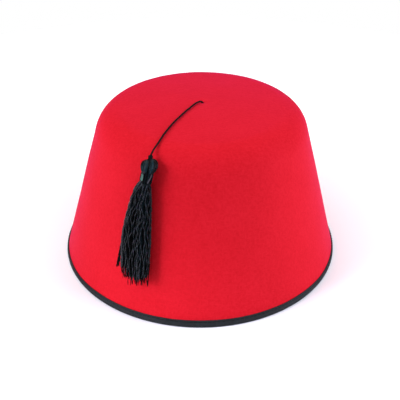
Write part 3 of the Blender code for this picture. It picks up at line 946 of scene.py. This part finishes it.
def strandLine(angle, share, spacing, longer, lively=1.0, twine=(0.0, 1.0, 0.0)):
    # one hanging strand from inside the wrap to its own end; twine is a size, a length and a phase
    _, _, halfWidth, _ = tasselSection(-60.0)
    hem = rowAt(skirt["hem"], halfWidth * share * cos(angle))[0]
    end = hem + random.gauss(0.0, skirt["uneven"]) - longer
    waves = skirtWaves(lively)
    atSide = 1.0 - skirt["straighter"] * abs(cos(angle))
    wander = random.uniform(0.5, 1.1) * skirt["wander"] * lively
    wanderLength = random.uniform(*skirt["wanderLength"])
    wanderPhase = random.uniform(0.0, tau)
    splay = random.gauss(0.0, skirt["splay"]) + skirt["flare"] * share * min(0.0, cos(angle))
    crinkleFade, wanderFade, twineFade = skirt["calmer"]
    count = round((skirt["top"] - end) / spacing)
    points = []
    for i in range(count + 1):
        way = i / count
        up = skirt["top"] + (end - skirt["top"]) * way
        lift, side, halfWidth, halfDepth = tasselSection(up)
        loose = min(1.0, way * skirt["freed"])
        waving = loose * (1.0 - crinkleFade * way)
        wanderAngle = tau * up / wanderLength + wanderPhase
        crossing = wander * loose * (1.0 - wanderFade * way) * sin(wanderAngle)
        twineAngle = tau * up / twine[1] + twine[2]
        twineSize = twine[0] * loose * (1.0 - twineFade * way)
        turned = angle + (crossing + twineSize * sin(twineAngle)) / halfWidth
        swings = [size * sin(tau * up / length + phase) for size, length, phase in waves]
        reach = (halfWidth - skirt["strandRadius"]) * share * cos(turned)
        forward = (halfDepth - skirt["strandRadius"]) * share * sin(turned)
        atEnd = max(0.0, way - skirt["splayFrom"]) / (1.0 - skirt["splayFrom"])
        aside = side + reach + waving * atSide * sum(swings[::2]) + splay * atEnd
        height = lift - forward + waving * sum(swings[1::2])
        height += skirt["pairDepth"] * twineSize * cos(twineAngle)
        points.append(inTassel(aside, max(height, skirt["lowest"]), up))
    return points


def addYarn(shape, points, radius, tint, sides=6):
    size = yarnTwist(radius)

    def ending(share, walked, angle):
        return size(share, walked, angle) * min(1.0, skirt["endSize"] + skirt["endTaper"] * (1.0 - share))
    addTube(shape, points, ending, sides, tint)


def makeSkirt(bundle):
    count, low, high, spacing, sides, tints = bundle
    shape = newShape()
    golden = pi * (3.0 - sqrt(5.0))
    for index in range(count):
        share = sqrt(low * low + (high * high - low * low) * (index + 0.5) / count)
        longer = random.uniform(*skirt["longer"]) if index % skirt["longEvery"] == 0 else 0.0
        points = strandLine(index * golden, share, spacing, longer)
        radius = skirt["strandRadius"] * random.uniform(*skirt["radii"])
        addYarn(shape, points, radius, random.uniform(*tints), sides)
    return shape


# painted glints: pale and dark stretches of tint along a strand, in place of highlights
def paintedGlints(tint, turns, phase):
    return lambda share: tint + skirt["paintedGlint"] * sin(tau * turns * share + phase)


def addShiny(shape):
    lines = []
    uneven, spacing = skirt["shinyUneven"], skirt["spacing"]
    for _, angle in aroundUnevenly(skirt["shiny"], uneven):
        lines.append((angle, strandLine(angle, skirt["shinyOut"], spacing, 0.0, skirt["lively"])))
    for _, angle in aroundUnevenly(skirt["pairs"], uneven):
        phase = random.uniform(0.0, tau)
        for turn in (0.0, pi):
            size = random.uniform(*skirt["pairTwine"])
            twine = (size, random.uniform(*skirt["pairTwineLength"]), phase + turn)
            lines.append((angle, strandLine(angle, skirt["pairsOut"], spacing, 0.0, twine=twine)))
    for angle, line in lines:
        # painted shade: the pale strands on the right are made darker
        tint = random.uniform(*skirt["shinyTints"]) - skirt["paintedShade"] * max(0.0, cos(angle))
        turns = len(line) * spacing / random.uniform(*skirt["paintedGlintLength"])
        addYarn(shape, line, skirt["shinyRadius"], paintedGlints(tint, turns, random.uniform(0.0, tau)))


def addTips(shape):
    # a few strands that cling together and hang out of the hem
    uneven, endSpread = skirt["tipEnd"]
    sinkFrom, sinkRate = skirt["tipSink"]
    for side, up, strands in skirt["tips"]:
        for _ in range(strands):
            rows = []
            for above, spread in [*skirt["tipForm"], (random.uniform(0.0, uneven), endSpread)]:
                lift, _, _, halfDepth = tasselSection(up + above)
                aside = side + random.uniform(-spread, spread)
                away = lift + skirt["tipDepth"] * halfDepth + random.uniform(-spread, spread)
                sink = sinkRate * max(0.0, sinkFrom - above)
                rows.append(inTassel(aside, away - sink, up + above))
            line = smoothLine(rows, skirt["spacing"] * mm)
            radius = skirt["tipRadius"] * skirt["strandRadius"]
            addYarn(shape, line, radius, random.uniform(*skirt["tipTints"]))


def addStrays(shape):
    across = tasselPlace.col[0].to_3d() * skirt["strayWave"] * mm
    for index in range(skirt["strayStrands"]):
        cut = random.uniform(0.0, skirt["strayCut"])
        aside = between(skirt["straySpread"], (index / (skirt["strayStrands"] - 1)) ** 2)
        phase = random.uniform(0.0, tau)
        rows = [inTassel(side + aside, lift, up) for up, side, lift in skirt["strays"][:-1]]
        up, side, lift = skirt["strays"][-1]
        rows.append(inTassel(side + skirt["strayEnd"] * aside, lift, up + cut))
        line = smoothLine(rows, skirt["spacing"] * mm)
        wavy = [point + across * sin(skirt["strayRate"] * i + phase) for i, point in enumerate(line)]
        addYarn(shape, wavy, skirt["strandRadius"], random.uniform(*skirt["strayTints"]))


outerShape = makeSkirt(skirt["outer"])
addTips(outerShape)
addStrays(outerShape)
skirtOuter = finishPiece("skirtOuter", outerShape, yarns["blackYarn"], ["tassel"])
shinyShape = newShape()
addShiny(shinyShape)
skirtShiny = finishPiece("skirtShiny", shinyShape, yarns["shinyYarn"], ["tassel"])
innerShape = makeSkirt(skirt["inner"])
skirtInner = finishPiece("skirtInner", innerShape, yarns["blackYarn"], ["tassel"])

# thread wound round the neck, black strands over it and one slack turn of the thread aslant on top
wrap = {
    "turns": 6,
    "turnSteps": 28,
    "startAngle": 2.0,  # radians from the right
    "thread": 0.33,     # millimetres, as are the lengths below
    "twist": 1.6,
    "plyDepth": 0.22,
    "top": 1.0,
    "bottom": -2.8,
    # black strands, in degrees from the right, 90 in front
    "over": [170, 90, 81, 72, 63, 54, 44, 34, 24, 14, 4, -7, -18, -29],
    "overThread": 0.34,
    "overTints": (0.05, 0.75),
    "overSway": 2.0,    # degrees
    "overProud": (0.1, 0.3),  # how far they stand out beside the wrap and on it
    "overTop": 2.6,
    "overRows": 8,      # of points, each a millimetre lower
    "slack": [  # degrees, up, how far it stands out of the wrap
        (18.0, 1.9, 0.0), (20.0, 1.2, 0.45), (27.0, -0.2, 0.6),
        (36.0, -1.8, 0.6), (44.0, -3.4, 0.35),
    ],
    "slackThread": 0.46,
    "slackTwist": 1.9,
}


def aroundNeck(angle, up, proud):
    # a place round the neck, this far out of the wound thread
    lift, middle, halfWidth, halfDepth = tasselSection(max(wrap["bottom"], min(wrap["top"], up)))
    more = 2.0 * wrap["thread"] + proud
    away = lift + (halfDepth + more) * sin(angle)
    return inTassel(middle + (halfWidth + more) * cos(angle), away, up)


def makeOverStrands():
    shape = newShape()
    for place in wrap["over"]:
        points = []
        for row in range(wrap["overRows"]):
            up = wrap["overTop"] - row
            onWrap = wrap["bottom"] - 0.5 <= up <= wrap["top"] + 0.5
            angle = radians(place + wrap["overSway"] * sin(2.0 * up))
            points.append(aroundNeck(angle, up, wrap["overProud"][onWrap]))
        tint = random.uniform(*wrap["overTints"])
        addTube(shape, smoothLine(points, 0.4 * mm), yarnTwist(wrap["overThread"]), 7, tint)
    finishPiece("neckStrands", shape, yarns["blackYarn"])


def makeWrap():
    shape = newShape()
    points = []
    count = wrap["turns"] * wrap["turnSteps"]
    for i in range(count + 1):
        share = i / count
        up = wrap["top"] + (wrap["bottom"] - wrap["top"]) * share
        angle = tau * wrap["turns"] * share + wrap["startAngle"]
        points.append(aroundNeck(-angle, up, -wrap["thread"]))
    size = plySize(wrap["thread"] * mm, 2, wrap["twist"] * mm, wrap["plyDepth"])
    addTube(shape, points, size, sides=8, tint=0.8)
    slack = [aroundNeck(radians(place), up, proud) for place, up, proud in wrap["slack"]]
    size = plySize(wrap["slackThread"] * mm, 2, wrap["slackTwist"] * mm, wrap["plyDepth"])
    addTube(shape, smoothLine(slack, 0.3 * mm), size, sides=8, tint=1.0)
    return finishPiece("neckThread", shape, yarns["wrapThread"], ["neck_wrap"])


neckThread = makeWrap()
makeOverStrands()

cordPath = [leaning(p) for p in cordLine()]
cordLength = sum((b - a).length for a, b in zip(cordPath, cordPath[1:]))
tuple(cordForm["exit"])
print("cord declared,", round(1000.0 * cordLength, 1), "mm long")

# a plain pale floor: a round board that glows a little, so that it stays light beside the hat
floorForm = {
    "radius": 0.5,
    "sides": 96,
    "below": 0.2 * mm,  # how far it lies under the rim
    "colour": (0.96, 0.96, 0.96),
    "darker": 0.985,    # its darker patches
    "glowSpan": (0.095, 0.2),  # metres from its middle, between which the glow grows
    "glow": 0.35,
}


def makeFloor():
    radius, sides = floorForm["radius"], floorForm["sides"]
    turns = [tau * i / sides for i in range(sides)]
    mesh = bpy.data.meshes.new("paleFloor")
    edge = [(radius * cos(turn), radius * sin(turn), 0.0) for turn in turns]
    mesh.from_pydata(edge, [], [tuple(range(sides))])
    material, tree, shader = newMaterial("paleFloorPaint")
    shade = tuple(floorForm["darker"] * c for c in floorForm["colour"])
    colour = colourRamp(tree, objectNoise(tree, 4.0), [(0.3, shade), (0.7, floorForm["colour"])])
    setNode(tree, shader, Base_Color=colour, Roughness=0.9, Specular_IOR_Level=0.1)
    place = addNode(tree, "ShaderNodeTexCoord").outputs["Object"]
    away = addNode(tree, "ShaderNodeVectorMath", operation="LENGTH", Vector=place).outputs["Value"]
    glow = mapRange(tree, away, 0.0, floorForm["glow"], *floorForm["glowSpan"])
    setNode(tree, shader, Emission_Color=(1.0, 1.0, 1.0, 1.0), Emission_Strength=glow)
    mesh.materials.append(material)
    floor = placed("paleFloor", mesh)
    floor.location.z = -floorForm["below"]


makeFloor()

# soft studio light: a strong lamp at each side, weaker ones over the hat and behind it, and a
# narrow one on the front of the rim
cool = (1.0, 1.0, 1.2)
cooler = (1.0, 1.03, 1.3)
warm = (1.0, 0.95, 0.85)
lights = [
    # name, degrees from the front to the right, degrees up, distance, size, power, spread, colour, aim
    ("keyLeft", -68.0, 28.0, 0.90, 0.50, 6.6, 180.0, cool, (0.0, 0.0, 0.05)),
    ("fillRight", 76.0, 22.0, 0.90, 0.80, 7.6, 180.0, cooler, (0.0, 0.0, 0.05)),
    ("overhead", -30.0, 82.0, 1.10, 0.90, 4.1, 180.0, warm, (0.0, 0.0, 0.05)),
    ("behind", 180.0, 55.0, 1.10, 0.90, 3.6, 180.0, warm, (0.0, 0.0, 0.05)),
    ("lowFront", -60.0, 13.0, 0.55, 0.10, 0.0105, 12.0, cool, (0.004, -0.094, -0.012)),
]
roomLight = 0.06


def addLights():
    for name, bearing, height, distance, size, power, spread, colour, aim in lights:
        data = bpy.data.lights.new(name, "AREA")
        data.shape = "DISK"
        data.size = size
        data.energy = power
        data.color = colour
        data.spread = radians(spread)
        turn = radians(bearing)
        rise = radians(height)
        level = cos(rise)
        away = Vector((level * sin(turn), -level * cos(turn), sin(rise)))
        lamp = placed(name, data)
        lamp.location = Vector(aim) + distance * away
        lamp.rotation_euler = away.to_track_quat("Z", "Y").to_euler()


def addRoom():
    # a dim white room that is seen as a bright backdrop
    world = bpy.data.worlds.new("studioRoom")
    world.use_nodes = True
    tree = world.node_tree
    white = (1.0, 1.0, 1.0, 1.0)
    dim = setNode(tree, tree.nodes["Background"], Color=white, Strength=roomLight)
    bright = addNode(tree, "ShaderNodeBackground", Color=white, Strength=1.0)
    seen = addNode(tree, "ShaderNodeLightPath").outputs["Is Camera Ray"]
    mix = addNode(tree, "ShaderNodeMixShader", Fac=seen)
    tree.links.new(dim.outputs[0], mix.inputs[1])
    tree.links.new(bright.outputs[0], mix.inputs[2])
    tree.links.new(mix.outputs[0], tree.nodes["World Output"].inputs["Surface"])
    bpy.context.scene.world = world
    bpy.context.scene.view_settings.view_transform = "Standard"


addLights()
addRoom()
print("floor and lights placed")
